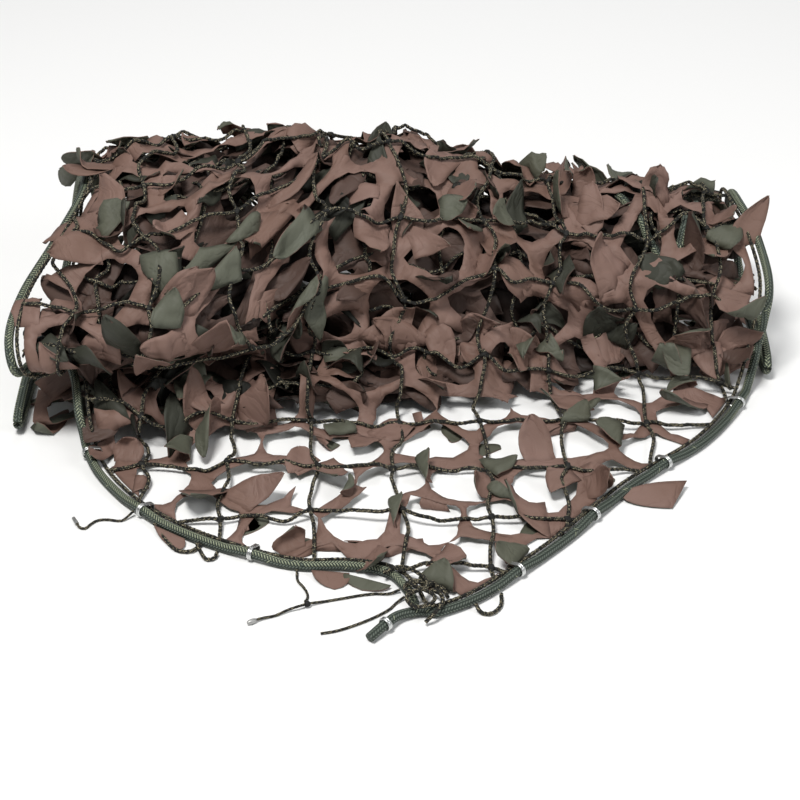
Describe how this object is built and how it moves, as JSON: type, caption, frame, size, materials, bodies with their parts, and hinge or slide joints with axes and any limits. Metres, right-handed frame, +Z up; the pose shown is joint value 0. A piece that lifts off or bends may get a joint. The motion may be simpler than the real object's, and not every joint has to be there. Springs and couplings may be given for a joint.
{
  "type": "camouflage net",
  "caption": "Camouflage net of leaf-cut garnish cloth on a corded square mesh with a roped edge, heaped on the ground with one corner spread out.",
  "frame": {"origin": "middle of the footprint, on the surface the net lies on", "axes": "+Z up; the open corner lies towards -Y; +X to the right as seen from the open corner"},
  "size_m": [0.7598, 0.6758, 0.2165],
  "materials": {
    "garnish_cloth": "coated cloth, brown face and grey-green back, matt",
    "net_cord": "twisted dark cord with pale flecks",
    "edge_rope": "braided dark green rope with pale flecks",
    "clip_metal": "dull zinc-plated steel"
  },
  "bodies": {
    "root": {"garnish_cloth": "garnish_cloth", "support_net": "net_cord", "edge_rope": "edge_rope", "clip_1": "clip_metal", "clip_2": "clip_metal", "clip_3": "clip_metal", "clip_4": "clip_metal", "clip_5": "clip_metal", "clip_6": "clip_metal", "clip_7": "clip_metal", "corner_ring": "clip_metal", "tail_left": "net_cord", "tail_long": "net_cord", "tail_drop": "net_cord", "tail_front": "net_cord", "crimp_tip": "clip_metal", "bead_tip": "clip_metal", "cord_knot": "clip_metal"}
  },
  "joints": []
}
